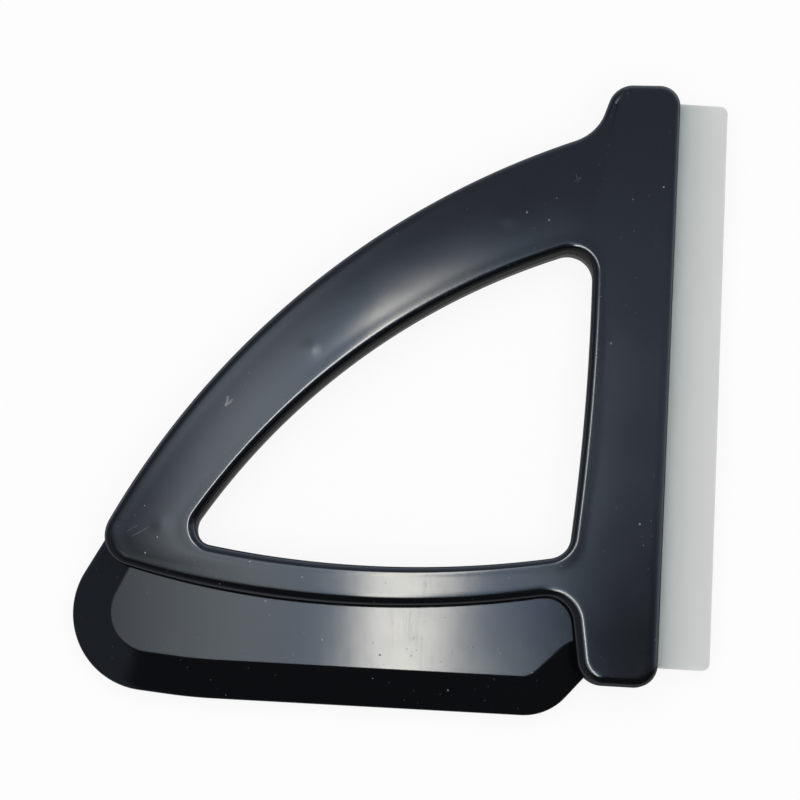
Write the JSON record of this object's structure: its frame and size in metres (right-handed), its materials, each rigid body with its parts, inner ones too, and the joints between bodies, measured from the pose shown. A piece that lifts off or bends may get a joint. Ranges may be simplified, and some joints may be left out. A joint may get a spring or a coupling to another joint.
{
  "type": "ice scraper",
  "caption": "Quarter-round ice scraper: glossy frame with a curved grip and a finger opening, bevelled scraper plate at the foot, soft squeegee blade along the bar.",
  "frame": {"origin": "middle of the object's footprint at its flat back, which is at Z = 0", "axes": "+Z out of the face side, +Y along the bar and the blade towards the bar's head, +X from the grip's tip towards the blade's lip"},
  "size_m": [0.1934, 0.1968, 0.016],
  "materials": {
    "frame_plastic": "glossy black moulded plastic with fine handling marks",
    "plate_plastic": "glossy black moulded plastic with a polished bevel",
    "blade_silicone": "milky translucent silicone, satin",
    "screw_steel": "zinc-plated steel"
  },
  "bodies": {
    "root": {"front_shell": "frame_plastic", "rear_shell": "frame_plastic", "scraper_plate": "plate_plastic", "squeegee_blade": "blade_silicone", "shell_screws": "screw_steel"}
  },
  "joints": []
}
